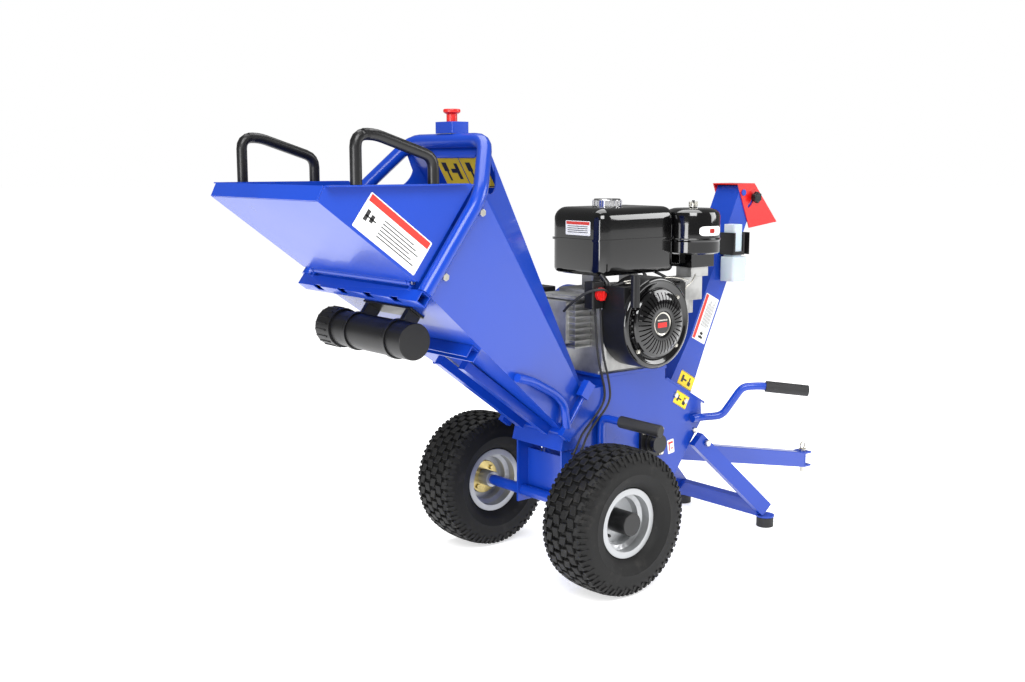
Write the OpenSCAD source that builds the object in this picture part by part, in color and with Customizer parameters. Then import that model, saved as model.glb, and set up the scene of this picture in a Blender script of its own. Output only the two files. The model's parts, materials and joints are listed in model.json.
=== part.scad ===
/* [Wheels] */
// Diameter of the tyre
tyre_d = 376; // [340:1:400]
// Width of the tyre
tyre_w = 153; // [130:1:160]
// Distance between the middles of the two tyres
track = 536; // [500:1:560]
// Diameter of the rim where the tyre beads sit
rim_d = 152; // [140:1:160]
// Diameter of the rim flanges
flange_d = 178; // [170:1:190]
// Diameter of the black hub on the outside of each wheel
hub_d = 59; // [50:1:66]
// Diameter of the axle tube between the wheels
axle_tube_d = 30; // [28:1:36]
// Diameter of the stub that each wheel turns on
stub_d = 25; // [20:1:26]

/* [Feed chute] */
// Angle of the chute floor below the horizontal
chute_slope = 36.7; // [34:0.1:38]
// Length of the chute from its mouth to the flange
chute_len = 668; // [640:1:700]
// Width of the chute mouth
mouth_w = 500; // [460:1:510]
// Height of the straight sides of the mouth
mouth_side = 265; // [240:1:280]
// Height of the mouth at its crown
mouth_h = 400; // [380:1:420]
// Width of the crown of the mouth
crown_w = 326; // [300:1:340]
// Thickness of the chute sheet
sheet = 3; // [2:0.5:4]
// Diameter of the tube that frames the mouth
frame_d = 35; // [30:1:38]

/* [Feed table] */
// Length of the folding table floor
table_len = 300; // [240:1:310]
// Width of the table outside its wings
table_w = 484; // [440:1:486]
// Diameter of the handle tube
table_tube_d = 25; // [18:1:28]

/* [Housing] */
// Width of the rotor housing
housing_w = 200; // [180:1:206]
// Thickness of the housing side plates
plate = 5; // [4:0.5:8]
// Diameter over the rotor knives
rotor_d = 224; // [200:1:230]
// Diameter of the rotor shaft
shaft_d = 30; // [25:1:32]

/* [Drive] */
// Diameter of the pulley on the rotor
rotor_pulley_d = 170; // [120:1:180]
// Diameter of the clutch pulley on the engine
crank_pulley_d = 100; // [80:1:120]
// Width of the belt
belt_w = 20; // [16:1:22]

/* [Engine] */
// Height of the crankshaft above the deck
crank_h = 139; // [130:1:145]
// Diameter of the round fan shroud
shroud_d = 244; // [220:1:250]
// Length of the fuel tank
tank_l = 290; // [260:1:295]
// Width of the fuel tank
tank_w = 208; // [180:1:215]
// Diameter of the air cleaner
filter_d = 156; // [140:1:158]

/* [Discharge] */
// Width of the discharge tube seen from the side
spout_w = 73; // [64:1:80]
// Depth of the discharge tube across the machine
spout_d = 90; // [80:1:100]
// Lean of the discharge tube from the vertical
spout_lean = 25.7; // [20:0.1:28]
// Length of the straight part of the discharge tube
spout_len = 470; // [420:1:500]

/* [Tow bar and stand] */
// Distance from the axle to the hitch pin
hitch_x = 1126; // [1100:1:1180]
// Diameter of the hitch pin
hitch_pin_d = 16; // [12:1:18]
// Distance between the two stand feet
feet_span = 330; // [300:1:360]
// Diameter of each rubber foot
foot_d = 51; // [40:1:60]
// Height of each rubber foot
foot_h = 30; // [20:1:32]

/* [Hidden] */
$fn = 48;
fit = 0.05;   // radial clearance of a turning fit
gap = 0.3;    // clearance between pieces on different bodies

axle_z = tyre_d / 2;
wheel_y = track / 2;
bead = 49.5;              // half the width between the rim flanges
bead_r = rim_d / 2;
flange_t = 3;
rim_edge = bead + 0.2 + flange_t;
hub_out = 66;             // hub end beyond the middle of the wheel

mouth_x = -560;
mouth_z = 800;
frame_r = frame_d / 2;
frame_v = mouth_h + 10;
chute_u = frame_r + 0.1;  // the sheet starts behind the frame tube
end_w = 200;
end_lo = -8;
end_hi = 121;

bar = 28;                 // mouth crossbar section
bar_u = -12;
bar_top = -3;
pin_u = -17;
pin_v = 10;
hinge_pin_r = 5;

house_y = housing_w / 2;
deck_z = 520;
deck_t = 8;
deck_x0 = 112;
deck_x1 = 362;
rotor_x = 300;
rotor_z = 312;
shaft_r = shaft_d / 2;
rotor_end = house_y - plate - 7;

belt_y = 142;
guard_gap = 22;
crank_x = 227;
crank_z = deck_z + crank_h;
crank_r = 12.5;
rotor_pulley_r = rotor_pulley_d / 2;
crank_pulley_r = crank_pulley_d / 2;

front_u = chute_len + 16; // mouth-frame distance to the housing front
slope_x = 357;            // top of the sloping rear of the housing
slope_z = 484;
slope_a = 29.4;

spout_y = spout_d / 2;
knee_x = 553.5;
knee_z = 570;
pivot_s = spout_len - 15;
pivot_n = spout_w / 2 - 14.5;
pivot_r = 5;
knob_s = spout_len - 8;
knob_n = 26;
knob_bolt_r = 4;
red_t = 3;

shroud_r = shroud_d / 2;
shroud_y0 = -188;
shroud_y1 = -101;
grip_x = 135;
grip_z = 750;
cord_r = 2.5;
shell = 4;                // rotor housing sheet

tank_x0 = 108;
tank_y0 = -100;
tank_z0 = 780;
cap_x = 222;
cap_y = 0;
filter_x = 457;
filter_y = -100;

ear_x = hitch_x + 14;
hitch_pin_r = hitch_pin_d / 2;

x_lo = mouth_x - (table_len + 27) * cos(chute_slope) + (pin_v - sheet) * sin(chute_slope);
x_mid = (x_lo + ear_x) / 2;

blue = [0.05, 0.16, 0.75];
black = [0.06, 0.06, 0.065];
zinc = [0.75, 0.75, 0.72];

// ---- frames and shared shapes ----

// everything is drawn from the axle and then centred on the origin
module placed() translate([-x_mid, 0, 0]) children();

// local x runs down the chute floor, local z up the plane of the mouth
module at_mouth() translate([mouth_x, 0, mouth_z]) rotate([0, chute_slope, 0]) children();

// local x runs down the sloping rear of the housing, local z out of it
module at_slope() translate([slope_x, 0, slope_z]) rotate([0, slope_a, 0]) children();

// local z runs up the discharge tube, local x across it
module at_spout() translate([knee_x, 0, knee_z]) rotate([0, spout_lean, 0]) children();

// local z points out of the wheel on that side
module at_wheel(side) translate([0, side * wheel_y, axle_z]) rotate([-side * 90, 0, 0]) children();

module both_sides() {
    children();
    mirror([0, 1, 0]) children();
}

// a flat plate whose outline lies in the XZ plane, from y0 to y1
module plate_xz(points, y0, y1)
    translate([0, y1, 0]) rotate([90, 0, 0]) linear_extrude(y1 - y0) polygon(points);

// a round bar along Y
module bar_y(x, z, r, y0, y1) translate([x, y1, z]) rotate([90, 0, 0]) cylinder(r = r, h = y1 - y0);

// a sheet that follows one edge of an outline, with its thickness on the left
module wall_xz(p, q, t, y0, y1)
    translate([p.x, y0, p.y]) rotate([0, -atan2(q.y - p.y, q.x - p.x), 0])
        cube([norm(q - p), y1 - y0, t]);

// a straight round rod between two points
module rod(p, q, r) {
    d = q - p;
    translate(p) rotate([0, acos(d.z / norm(d)), atan2(d.y, d.x)]) cylinder(r = r, h = norm(d));
}

function unit(v) = v / norm(v);

// one ring of points about c, square to the direction d
function ring(c, d, r, n, ref) = let (
    side = unit(cross(d, ref)),
    up = cross(side, d)
) [for (k = [0 : n - 1]) c + r * (side * cos(360 * k / n) + up * sin(360 * k / n))];

// a round pipe along a path that never runs along the direction ref
module sweep(path, r, ref, n) {
    m = len(path);
    rings = [for (i = [0 : m - 1]) each ring(path[i],
        unit(path[min(i + 1, m - 1)] - path[max(i - 1, 0)]), r, n, ref)];
    faces = concat([[for (k = [n - 1 : -1 : 0]) k]], [[for (k = [0 : n - 1]) (m - 1) * n + k]],
        [for (i = [0 : m - 2], k = [0 : n - 1])
            [i * n + k, i * n + (k + 1) % n, (i + 1) * n + (k + 1) % n, (i + 1) * n + k]]);
    polyhedron(rings, faces);
}

// points that round the corner b between a and c, reaching rad along each side
function corner(a, b, c, rad, n = 4) = let (
    p = b + (a - b) / norm(a - b) * rad,
    q = b + (c - b) / norm(c - b) * rad
) [for (i = [0 : n]) let (t = i / n) p * (1 - t) * (1 - t) + b * 2 * t * (1 - t) + q * t * t];

function rounded(p, rad) = [p[0], for (i = [1 : len(p) - 2]) each corner(p[i - 1], p[i], p[i + 1], rad),
    p[len(p) - 1]];

function mouth_pt(u, v) = [mouth_x + u * cos(chute_slope) + v * sin(chute_slope),
    mouth_z - u * sin(chute_slope) + v * cos(chute_slope)];
function slope_pt(s, n) = [slope_x + s * cos(slope_a) + n * sin(slope_a),
    slope_z - s * sin(slope_a) + n * cos(slope_a)];
function spout_pt(n, s) = [knee_x + n * cos(spout_lean) + s * sin(spout_lean),
    knee_z - n * sin(spout_lean) + s * cos(spout_lean)];

// half width of the chute at a distance down it
function chute_half(u) = mouth_w / 2 + (end_w / 2 - mouth_w / 2) * u / chute_len;

// a box with round upright corners
module soft_box(x0, x1, y0, y1, z0, z1, r) translate([0, 0, z0]) linear_extrude(z1 - z0) {
    translate([x0 + r, y0]) square([x1 - x0 - 2 * r, y1 - y0]);
    translate([x0, y0 + r]) square([x1 - x0, y1 - y0 - 2 * r]);
    for (x = [x0 + r, x1 - r], y = [y0 + r, y1 - r]) translate([x, y]) circle(r);
}

// ---- housing ----

front_lo = mouth_pt(front_u, end_lo);
front_hi = mouth_pt(front_u, end_hi);
outline = [front_lo, [-30, 334], [66, 334], [150, 188], [394, 188], [455, 270], [512, 345],
    slope_pt(173.3, 0), [slope_x, slope_z], [slope_x, deck_z - deck_t], [118, deck_z - deck_t],
    [118, front_hi.y], front_hi];
inlet_floor_end = [150, 345];

module side_plates() placed() color(blue) both_sides() difference() {
    plate_xz(outline, -house_y, -house_y + plate);
    bar_y(rotor_x, rotor_z, shaft_r + 6, -house_y - 1, -house_y + plate + 1);
}

module rotor_shell() placed() color(blue) {
    y = house_y - plate;
    difference() {
        across(-y, y) difference() {
            polygon(outline);
            offset(delta = -shell) polygon(outline);
        }
        at_mouth() translate([front_u - 10, -y - 1, end_lo + shell]) cube([30, 2 * y + 2, end_hi - end_lo]);
        at_slope() translate([80, -y - 1, -20]) cube([78, 2 * y + 2, 30]);
    }
    wall_xz(mouth_pt(front_u + shell + 1, end_lo + 8), inlet_floor_end, shell, -y, y);
}

module engine_deck() placed() color(blue) difference() {
    translate([deck_x0, -house_y, deck_z - deck_t]) cube([deck_x1 - deck_x0, housing_w, deck_t]);
    for (x = [crank_x - 80, crank_x + 80], y = [-60, 60])
        translate([x, y, deck_z - deck_t - 1]) cylinder(r = 5.5, h = deck_t + 2);
}

module anvil() placed() color(zinc)
    plate_xz([[151, 316], [rotor_x - rotor_d / 2 - 6, 316], [rotor_x - rotor_d / 2 - 4, 340], [151, 344.5]],
        -house_y + plate, house_y - plate);

module rotor_bearing() difference() {
    union() {
        across(-house_y - 10, -house_y) translate([rotor_x, rotor_z]) offset(r = 12) square(62, center = true);
        bar_y(rotor_x, rotor_z, 34, -house_y - 21, -house_y - 5);
    }
    bar_y(rotor_x, rotor_z, shaft_r + fit, -house_y - 30, -house_y + 1);
}

module rotor_bearings() placed() color(black) {
    rotor_bearing();
    mirror([0, 1, 0]) rotor_bearing();
    difference() {
        bar_y(rotor_x, rotor_z, 26, -house_y - 40, -house_y - 21);
        bar_y(rotor_x, rotor_z, shaft_r + 1, -house_y - 34, -house_y - 20);
    }
}

// ---- drive ----

module around_pulleys(extra) hull() {
    translate([rotor_x, rotor_z]) circle(rotor_pulley_r + extra, $fn = 64);
    translate([crank_x, crank_z]) circle(crank_pulley_r + extra, $fn = 64);
}

module across(y0, y1) translate([0, y1, 0]) rotate([90, 0, 0]) linear_extrude(y1 - y0) children();

module belt_guard() placed() color(blue) difference() {
    across(house_y + 0.1, belt_y + 24) around_pulleys(guard_gap + 3);
    across(house_y, belt_y + 21) around_pulleys(guard_gap);
}

module drive_belt() placed() color(black) across(belt_y - belt_w / 2, belt_y + belt_w / 2) difference() {
    around_pulleys(gap + 6);
    around_pulleys(gap);
}

module pulley(r, bore) difference() {
    union() {
        cylinder(r = r, h = belt_w + 8, center = true, $fn = 64);
        for (s = [-1, 1]) translate([0, 0, s * (belt_w / 2 + 2.4)])
            cylinder(r = r + 9, h = 3.2, center = true, $fn = 64);
    }
    cylinder(r = bore, h = 60, center = true);
}

module rotor_pulley() placed() color(zinc)
    translate([rotor_x, belt_y, rotor_z]) rotate([90, 0, 0]) pulley(rotor_pulley_r, shaft_r);

module crank_pulley() placed() color(zinc) {
    translate([crank_x, belt_y, crank_z]) rotate([90, 0, 0]) pulley(crank_pulley_r, crank_r - 0.01);
    bar_y(crank_x, crank_z, crank_r, 42, belt_y + 14);
}

module rotor_drum() placed() color(zinc) {
    r = rotor_d / 2 - 7;
    difference() {
        union() {
            bar_y(rotor_x, rotor_z, r, -rotor_end, rotor_end);
            bar_y(rotor_x, rotor_z, shaft_r, -house_y - 32, belt_y + 16);
        }
        difference() {
            bar_y(rotor_x, rotor_z, r - 12, -rotor_end + 10, rotor_end - 10);
            bar_y(rotor_x, rotor_z, shaft_r + 10, -rotor_end, rotor_end);
        }
        for (a = [45 : 90 : 315]) translate([rotor_x, 0, rotor_z]) rotate([0, a, 0]) translate([58, 0, 0])
            rotate([90, 0, 0]) cylinder(r = 18, h = 2 * rotor_end + 2, center = true);
        for (a = [0, 180]) knife_seat(a, 0.1);
    }
}

module knife_seat(a, extra) translate([rotor_x, 0, rotor_z]) rotate([0, a, 0])
    translate([rotor_d / 2 - 36, -rotor_end + 8 - extra, -6 - extra])
        cube([35, 2 * rotor_end - 16 + 2 * extra, 10 + 2 * extra]);

module rotor_knives() placed() color(zinc) for (a = [0, 180]) knife_seat(a, 0);

// ---- running gear ----

module axle_beam() placed() color(blue) {
    bar_y(0, axle_z, axle_tube_d / 2, -wheel_y + rim_edge, wheel_y - rim_edge);
    bar_y(0, axle_z, stub_d / 2, -wheel_y - 52, wheel_y + 52);
}

module axle_bracket() placed() color(blue) {
    both_sides() difference() {
        plate_xz([[-20, 158], [64, 158], [64, 333.9], [-20, 333.9]], -92, -86);
        bar_y(0, axle_z, axle_tube_d / 2 + fit, -100, -80);
    }
    translate([axle_tube_d / 2 + 1, -86, 170]) cube([4, 172, 134]);
    translate([axle_tube_d / 2 + 5, -86, 170]) cube([40, 172, 4]);
}

module tyre() rotate_extrude($fn = 96) {
    w = tyre_w / 2;
    r = axle_z;
    side = [[bead_r + 0.1, bead], [flange_d / 2 + 0.5, bead], [flange_d / 2 + 6, bead + 9], [r * 0.62, w - 3],
        [r * 0.74, w], [r * 0.88, w - 3], [r * 0.955, w - 9], [r * 0.985, w - 20], [r, w - 38]];
    inner = [[r * 0.95, w - 40], [r * 0.9, w - 18], [r * 0.74, w - 9], [r * 0.6, w - 13], [bead_r + 0.1, bead - 13]];
    polygon(concat(side, [for (i = [8 : -1 : 0]) [side[i].x, -side[i].y]],
        [for (i = [4 : -1 : 0]) [inner[i].x, -inner[i].y]], inner));
}

module rim() {
    rotate_extrude($fn = 96) {
        polygon([[bead_r - 3, -rim_edge], [flange_d / 2, -rim_edge], [flange_d / 2, -rim_edge + flange_t],
            [bead_r, -rim_edge + flange_t], [bead_r, -26], [bead_r - 12, -22], [bead_r - 12, 22], [bead_r, 26],
            [bead_r, rim_edge - flange_t], [flange_d / 2, rim_edge - flange_t], [flange_d / 2, rim_edge],
            [bead_r - 3, rim_edge], [bead_r - 3, 28], [bead_r - 15, 24], [bead_r - 15, 3], [stub_d / 2 + fit, 3],
            [stub_d / 2 + fit, -45], [22, -45], [22, 0], [bead_r - 15, 0], [bead_r - 15, -24], [bead_r - 3, -28]]);
    }
}

module hub() difference() {
    translate([0, 0, 3.05]) cylinder(r = hub_d / 2, h = hub_out - 3.05);
    cylinder(r = stub_d / 2 + fit, h = 56);
}

module tyre_near() placed() color(black) at_wheel(-1) tyre();
module rim_near() placed() color("silver") at_wheel(-1) rim();
module hub_near() placed() color(black) at_wheel(-1) hub();
module tyre_far() placed() color(black) at_wheel(1) tyre();
module rim_far() placed() color("silver") at_wheel(1) rim();
module hub_far() placed() color(black) at_wheel(1) hub();

// ---- feed chute ----

module mouth_section(u, inset) {
    f = u / chute_len;
    w = chute_half(u) - inset;
    lo = end_lo * f + inset;
    side = mouth_side + (end_hi - 14 - mouth_side) * f - inset;
    hi = mouth_h + (end_hi - mouth_h) * f - inset;
    crown = crown_w / 2 + (end_w / 2 - 9 - crown_w / 2) * f - inset * 0.7;
    translate([u, 0, 0]) rotate([90, 0, 90]) linear_extrude(0.5)
        polygon([[-w, lo], [w, lo], [w, side], [crown, hi], [-crown, hi], [-w, side]]);
}

module chute_solid(u0, u1, inset) hull() {
    mouth_section(u0, inset);
    mouth_section(u1, inset);
}

module feed_chute() placed() color(blue) at_mouth() difference() {
    chute_solid(chute_u, chute_len - 0.5, 0);
    chute_solid(chute_u - 1, chute_len + 1, sheet);
    both_sides() translate([chute_u - 6, -mouth_w / 2 - 20, mouth_side + 66]) rotate([-90, 0, 0])
        cylinder(r = 52, h = (mouth_w - crown_w) / 2 + 18);
}

module hood_frame() placed() color(blue) at_mouth() {
    leg = mouth_w / 2;
    top = crown_w / 2 - frame_r + 4;
    sweep(rounded([[0, -leg, bar_top + 0.1], [0, -leg, mouth_side - 12], [0, -top, frame_v], [0, top, frame_v],
        [0, leg, mouth_side - 12], [0, leg, bar_top + 0.1]], 38), frame_r, [1, 0, 0], 16);
    translate([frame_r - 3, -crown_w / 2 + 42, frame_v - 38]) cube([2.9, crown_w - 84, 38]);
}

module lug(y) difference() {
    union() {
        translate([pin_u, y, pin_v]) rotate([-90, 0, 0]) cylinder(r = 9, h = 9);
        translate([pin_u + 3, y, bar_top - 4]) cube([11, 9, pin_v - bar_top + 4]);
    }
    translate([pin_u, y - 1, pin_v]) rotate([-90, 0, 0]) cylinder(r = hinge_pin_r + 0.02, h = 11);
}

module mouth_crossbar() placed() color(blue) at_mouth() {
    difference() {
        translate([bar_u, -255, bar_top - bar]) cube([bar, 510, bar]);
        translate([bar_u + 3, -256, bar_top - bar + 3]) cube([bar - 6, 512, bar - 6]);
        for (y = [-165, -55, 55, 165]) translate([bar_u - 1, y - 16, bar_top - bar - 1]) cube([bar - 8, 32, 5]);
    }
    lug(-212.5);
    lug(203.5);
}

module table_hinge_pin() placed() color(zinc) at_mouth()
    translate([pin_u, -218, pin_v]) rotate([-90, 0, 0]) cylinder(r = hinge_pin_r, h = 436);

// ---- folding table ----

wing_u = -22;             // the wings stop short of the frame tube
lip_u = -24 - table_len;

module wing() {
    y = -table_w / 2;
    translate([0, y + sheet, 0]) rotate([90, 0, 0]) linear_extrude(sheet)
        polygon([[wing_u, pin_v], [lip_u, pin_v], [lip_u - 6, pin_v + 31],
            [wing_u - 2, pin_v + 31 + (wing_u - lip_u + 4) * tan(chute_slope)]]);
}

table_top_u0 = lip_u - 4;
table_top_u1 = wing_u - 22;

module table_flange(y0, y1) {
    v0 = pin_v + 31;
    len = (table_top_u1 - table_top_u0) / cos(chute_slope);
    translate([table_top_u0, y0, v0]) rotate([0, -chute_slope, 0]) cube([len, y1 - y0, sheet]);
}

module feed_table() placed() color(blue) at_mouth() {
    translate([lip_u, -table_w / 2, pin_v - sheet]) cube([table_len - 4, table_w, sheet]);
    translate([lip_u + table_len - 14, -199, pin_v - sheet]) cube([13, 398, sheet]);
    difference() {
        translate([pin_u, -200, pin_v]) rotate([-90, 0, 0]) cylinder(r = 8, h = 400);
        translate([pin_u, -201, pin_v]) rotate([-90, 0, 0]) cylinder(r = hinge_pin_r + fit, h = 402);
    }
    translate([lip_u - sheet, -table_w / 2, pin_v - sheet]) rotate([0, -11, 0]) cube([sheet, table_w, 34]);
    both_sides() {
        wing();
        table_flange(-table_w / 2 - 22, -table_w / 2 + sheet);
    }
}

handle_y = table_w / 2 + 9;
function on_table(du, up) = [table_top_u0 + du * cos(chute_slope) - up * sin(chute_slope), -handle_y,
    pin_v + 31 + du * sin(chute_slope) + up * cos(chute_slope)];

module table_handles() placed() color(black) at_mouth() both_sides()
    sweep(rounded([on_table(68, sheet + 0.1), on_table(68, 104), on_table(110, 108), on_table(262, 60),
        on_table(262, sheet + 0.1)], 24), table_tube_d / 2, [0, 1, 0], 12);

// ---- stop switch ----

stop_x = -300;
stop_z = mouth_pt(0, frame_v).y + frame_r + 0.2;

module stop_switch_box() placed() color(blue) difference() {
    soft_box(stop_x - 25, stop_x + 25, -35, 35, stop_z, stop_z + 28, 3);
    translate([stop_x, 0, stop_z + 10]) cylinder(r = 9.5 + fit, h = 20);
}

module stop_button() placed() color("red") translate([stop_x, 0, stop_z]) {
    translate([0, 0, 18]) cylinder(r = 9.5, h = 27);
    translate([0, 0, 45]) cylinder(r1 = 17, r2 = 21, h = 8, $fn = 64);
    translate([0, 0, 53]) cylinder(r = 21, h = 6, $fn = 64);
}

// ---- canister under the chute ----

can_u = 107;
can_v = -76;
can_r = 43;
can_y0 = -150;
can_y1 = 150;

module manual_canister() placed() color(black) at_mouth() difference() {
    translate([can_u, can_y0, can_v]) rotate([-90, 0, 0]) cylinder(r = can_r, h = can_y1 - can_y0 + 22, $fn = 64);
    translate([can_u, can_y0 + 3, can_v]) rotate([-90, 0, 0]) cylinder(r = can_r - 4, h = 400, $fn = 64);
}

module canister_cap() placed() color(black) at_mouth() difference() {
    union() {
        translate([can_u, can_y1, can_v]) rotate([-90, 0, 0]) cylinder(r = can_r + 5, h = 62, $fn = 64);
        for (a = [0 : 20 : 340]) translate([can_u, can_y1 + 14, can_v]) rotate([0, a, 0])
            translate([can_r + 4, 0, -2]) cube([3, 46, 4]);
    }
    translate([can_u, can_y1 - 1, can_v]) rotate([-90, 0, 0]) cylinder(r = can_r + gap, h = 57, $fn = 64);
}

module canister_bracket() placed() color(black) at_mouth() {
    under = end_lo * (can_u + 22) / chute_len - 0.05;
    difference() {
        union() {
            for (y = [-90, 80]) {
                translate([can_u, y, can_v]) rotate([-90, 0, 0]) cylinder(r = can_r + 4, h = 14);
                translate([can_u - 20, y, can_v + 20]) cube([40, 14, under - 4 - can_v - 20]);
            }
            translate([can_u - 22, -100, under - 5]) cube([44, 204, 5]);
        }
        translate([can_u, -200, can_v]) rotate([-90, 0, 0]) cylinder(r = can_r + 0.05, h = 400, $fn = 64);
    }
}

module chute_supports() placed() color(blue) {
    at_mouth() {
        low = end_lo * 265 / chute_len - 0.5;
        difference() {
            translate([238, -170, low - 30]) cube([27, 340, 30]);
            translate([241, -171, low - 31]) cube([21, 342, 28]);
        }
        both_sides() translate([330, -62, end_lo - 24.2]) cube([chute_len - 330, 24, 24]);
    }
    both_sides() difference() {
        sweep(rounded([[-236, -171, 563], [-178, -160, 546], [-84, -136, 500], [-44, -126, 468],
            [-30, -123.5, 402]], 20), 11, [0, 1, 0], 12);
        at_mouth() clamp();
    }
}

clamp_lo = end_lo + 12;
clamp_hi = end_hi - 34;

// the two blocks and the bolt that pull the chute onto the housing
module clamp() {
    translate([chute_len - 22, -end_w / 2 - 34, clamp_hi]) cube([28, 21.5, 44]);
    translate([chute_len - 14, -end_w / 2 - 30, clamp_lo - 34]) cube([34, 17.5, 34]);
    translate([chute_len - 2, -end_w / 2 - 22, clamp_lo]) cylinder(r = 5, h = clamp_hi - clamp_lo);
}

module inlet_ring(u0, u1, grow) difference() {
    translate([u0, -end_w / 2 - grow, end_lo - grow]) cube([u1 - u0, end_w + 2 * grow, end_hi - end_lo + 2 * grow]);
    translate([u0 - 1, -end_w / 2 + 5, end_lo + 4]) cube([u1 - u0 + 2, end_w - 10, end_hi - end_lo - 8]);
}

module inlet_flanges() placed() color(blue) {
    at_mouth() {
        inlet_ring(chute_len + 0.2, chute_len + 7.8, 12);
        inlet_ring(chute_len + 8, front_u - 0.1, 12);
        both_sides() clamp();
    }
}

// ---- discharge ----

spout_outer = [slope_pt(82, 5), slope_pt(182, 5), spout_pt(spout_w / 2, 0), spout_pt(spout_w / 2, spout_len),
    spout_pt(-spout_w / 2, spout_len), spout_pt(-spout_w / 2, 0)];
spout_inner = [slope_pt(86, -5), slope_pt(178, -5), spout_pt(spout_w / 2 - 3, 0),
    spout_pt(spout_w / 2 - 3, spout_len + 1), spout_pt(-spout_w / 2 + 3, spout_len + 1),
    spout_pt(-spout_w / 2 + 3, 0)];

module discharge_tube() placed() color(blue) {
    difference() {
        union() {
            plate_xz(spout_outer, -spout_y, spout_y);
            at_slope() translate([6, -house_y, 0.05]) cube([184, housing_w, 4.95]);
        }
        plate_xz(spout_inner, -spout_y + 3, spout_y - 3);
        at_spout() translate([knob_n, -spout_y - 1, knob_s]) rotate([-90, 0, 0])
            cylinder(r = knob_bolt_r + fit, h = 10);
    }
    both_sides() at_spout() {
        translate([-pivot_n, -spout_y - 4, pivot_s]) rotate([-90, 0, 0]) cylinder(r = pivot_r, h = 5);
        translate([-pivot_n, -spout_y - 7, pivot_s]) rotate([-90, 0, 0]) cylinder(r = 9, h = 3);
    }
}

// a point of the deflector, measured from its pivot along and up the tube
function red_pt(n, s) = spout_pt(n - pivot_n, s + pivot_s);

// an arc-shaped slot about the origin, from angle a to angle b
function slot(r, half, a, b) = [
    for (i = [a : 4 : b]) (r + half) * [cos(i), sin(i)],
    for (i = [30 : 30 : 150]) r * [cos(b), sin(b)] + half * [cos(b + i), sin(b + i)],
    for (i = [b : -4 : a]) (r - half) * [cos(i), sin(i)],
    for (i = [210 : 30 : 330]) r * [cos(a), sin(a)] + half * [cos(a + i), sin(a + i)]
];

module deflector() placed() color("red") {
    y = spout_y + 0.5;
    h = spout_pt(-pivot_n, pivot_s);
    k = spout_pt(knob_n, knob_s);
    rest = atan2(k.y - h.y, k.x - h.x);
    top = [red_pt(-34, 13), red_pt(34, 46), red_pt(183, -12), red_pt(74, -81)];
    difference() {
        union() {
            both_sides() plate_xz(top, -y - red_t, -y);
            wall_xz(top[1], top[0], red_t, -y, y);
            wall_xz(top[2], top[1], red_t, -y, y);
        }
        bar_y(h.x, h.y, pivot_r + fit, -y - 10, y + 10);
        across(-y - red_t - 1, -y + 1) translate(h)
            polygon(slot(norm(k - h), knob_bolt_r + 0.7, rest - 40, rest + 8));
    }
}

module deflector_knob() placed() color(black) at_spout() translate([knob_n, -spout_y, knob_s]) rotate([90, 0, 0]) {
    translate([0, 0, -2.8]) cylinder(r = knob_bolt_r, h = 12);
    translate([0, 0, red_t + 0.8]) cylinder(r = 11, h = 5);
    translate([0, 0, red_t + 5.8]) cylinder(r = 17, h = 16);
}

// ---- tow bar and stand ----

module tow_bar() placed() color(blue) difference() {
    plate_xz([[424.6, 228.3], [hitch_x - 19, 90], [hitch_x - 19, 139], [456.2, 271.3]], -25, 25);
    plate_xz([[420, 232.5], [hitch_x - 18, 93.2], [hitch_x - 18, 135.8], [450, 269]], -22, 22);
}

module hitch_clevis() placed() color(blue) {
    translate([hitch_x - 18.9, -25, 90]) cube([5, 50, 49]);
    for (z = [90, 133]) difference() {
        translate([hitch_x - 14, -25, z]) cube([28, 50, 6]);
        translate([hitch_x, 0, z - 1]) cylinder(r = hitch_pin_r + fit, h = 8);
    }
}

module hitch_pin() placed() color(zinc) translate([hitch_x, 0, 0]) {
    translate([0, 0, 69]) cylinder(r = hitch_pin_r, h = 76);
    translate([0, 0, 139 + gap]) cylinder(r = hitch_pin_r + 4, h = 6);
    difference() {
        translate([0, 2, 156]) rotate([90, 0, 0]) cylinder(r = 13, h = 4);
        translate([0, 3, 156]) rotate([90, 0, 0]) cylinder(r = 9, h = 6);
    }
}

foot_x = 733;
leg_x = 495;
leg_z = 284;

module beam(p, q, w, h) {
    d = q - p;
    translate(p) rotate([0, 0, atan2(d.y, d.x)]) rotate([0, atan2(-d.z, norm([d.x, d.y])), 0])
        translate([0, -w / 2, -h / 2]) cube([norm(d), w, h]);
}

module stand_frame() placed() color(blue) {
    both_sides() difference() {
        union() {
            beam([leg_x - 22, -house_y - 15, leg_z + 12], [foot_x - 4, -feet_span / 2, foot_h + 22], 24, 44);
            translate([foot_x, -feet_span / 2, foot_h]) cylinder(r = foot_d / 2 + 2, h = 5);
        }
        translate([foot_x - 100, -feet_span / 2 - 60, -40]) cube([200, 120, foot_h + 40]);
    }
    translate([foot_x - 34, -feet_span / 2 + 6, foot_h + 6]) cube([34, feet_span - 12, 42]);
}

module stand_feet() placed() color(black) both_sides()
    translate([foot_x, -feet_span / 2, 0]) cylinder(r = foot_d / 2, h = foot_h - 0.05);

// ---- lifting handles ----

tube_r = 11;
side_path = [[103, -house_y - tube_r - 0.3, 262], [103, -house_y - tube_r - 0.3, 410],
    [138, -house_y - tube_r - 179, 397]];
rear_dir = [0.743, -0.669];
function rear_pt(t, z) = [492 + rear_dir.x * t, -house_y - tube_r - 1.2 + rear_dir.y * t, z];
rear_path = [[460, -house_y - tube_r - 0.3, 356], [490, -house_y - tube_r - 0.3, 356], rear_pt(62, 362),
    rear_pt(118, 446), rear_pt(170, 449), rear_pt(300, 436)];

module lift_handles() placed() color(blue) both_sides() {
    sweep(rounded(side_path, 24), tube_r, [1, 0, 0], 12);
    sweep(rounded(rear_path, 18), tube_r, [0, 1, 0], 12);
}

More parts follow.
